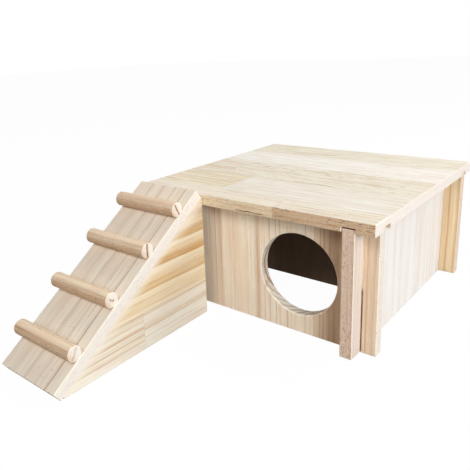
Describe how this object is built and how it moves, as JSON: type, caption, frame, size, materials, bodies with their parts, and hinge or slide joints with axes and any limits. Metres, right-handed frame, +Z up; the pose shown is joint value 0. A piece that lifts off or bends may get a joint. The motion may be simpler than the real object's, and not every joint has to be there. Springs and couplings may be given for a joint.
{
  "type": "wooden hamster house",
  "caption": "Low square wooden hamster house with a round entrance, a lift-off flat roof and a free-standing ramp with round rungs up to the roof.",
  "frame": {"origin": "on the floor, under the middle of the bounding box of the house and the ramp together", "axes": "+X to the right seen from the front, +Y from the entrance side to the back of the house, +Z up"},
  "size_m": [0.23, 0.3956, 0.1158],
  "materials": {
    "roof_pine": "bare planed wood",
    "wall_pine": "bare planed wood",
    "side_pine": "bare planed wood",
    "divider_pine": "bare planed wood",
    "deck_pine": "bare planed wood",
    "cheek_pine": "bare planed wood",
    "rung_wood": "bare planed wood"
  },
  "bodies": {
    "house": {"back_wall_stave_1": "wall_pine", "back_wall_stave_2": "wall_pine", "back_wall_stave_3": "wall_pine", "back_wall_stave_4": "wall_pine", "back_wall_stave_5": "wall_pine", "divider_stave_1": "divider_pine", "divider_stave_2": "divider_pine", "divider_stave_3": "divider_pine", "divider_stave_4": "divider_pine", "front_wall_stave_1": "wall_pine", "front_wall_stave_2": "wall_pine", "front_wall_stave_3": "wall_pine", "front_wall_stave_4": "wall_pine", "left_wall_stave_1": "side_pine", "left_wall_stave_2": "side_pine", "left_wall_stave_3": "side_pine", "left_wall_stave_4": "side_pine", "right_wall_stave_1": "side_pine", "right_wall_stave_2": "side_pine", "right_wall_stave_3": "side_pine", "right_wall_stave_4": "side_pine"},
    "roof": {"roof_stave_1_left": "roof_pine", "roof_stave_1_right": "roof_pine", "roof_stave_2_left": "roof_pine", "roof_stave_2_right": "roof_pine", "roof_stave_3_left": "roof_pine", "roof_stave_3_right": "roof_pine", "roof_stave_4": "roof_pine", "roof_stave_5": "roof_pine"},
    "ramp": {"ramp_deck_stave_1": "deck_pine", "ramp_deck_stave_2": "deck_pine", "ramp_left_cheek_stave_1_back": "cheek_pine", "ramp_left_cheek_stave_1_front": "cheek_pine", "ramp_left_cheek_stave_2": "cheek_pine", "ramp_left_cheek_stave_3": "cheek_pine", "ramp_right_cheek_stave_1_back": "cheek_pine", "ramp_right_cheek_stave_1_front": "cheek_pine", "ramp_right_cheek_stave_2": "cheek_pine", "ramp_right_cheek_stave_3": "cheek_pine", "rung_1": "rung_wood", "rung_2": "rung_wood", "rung_3": "rung_wood", "rung_4": "rung_wood"}
  },
  "joints": [
    {"name": "roof_lift", "type": "slide", "parent": "house", "child": "roof", "axis": [0, 0, 1], "range_m": [0, 0.12]},
    {"name": "ramp_stand_away", "type": "slide", "parent": "house", "child": "ramp", "axis": [0, -1, 0], "range_m": [0, 0.15]}
  ]
}
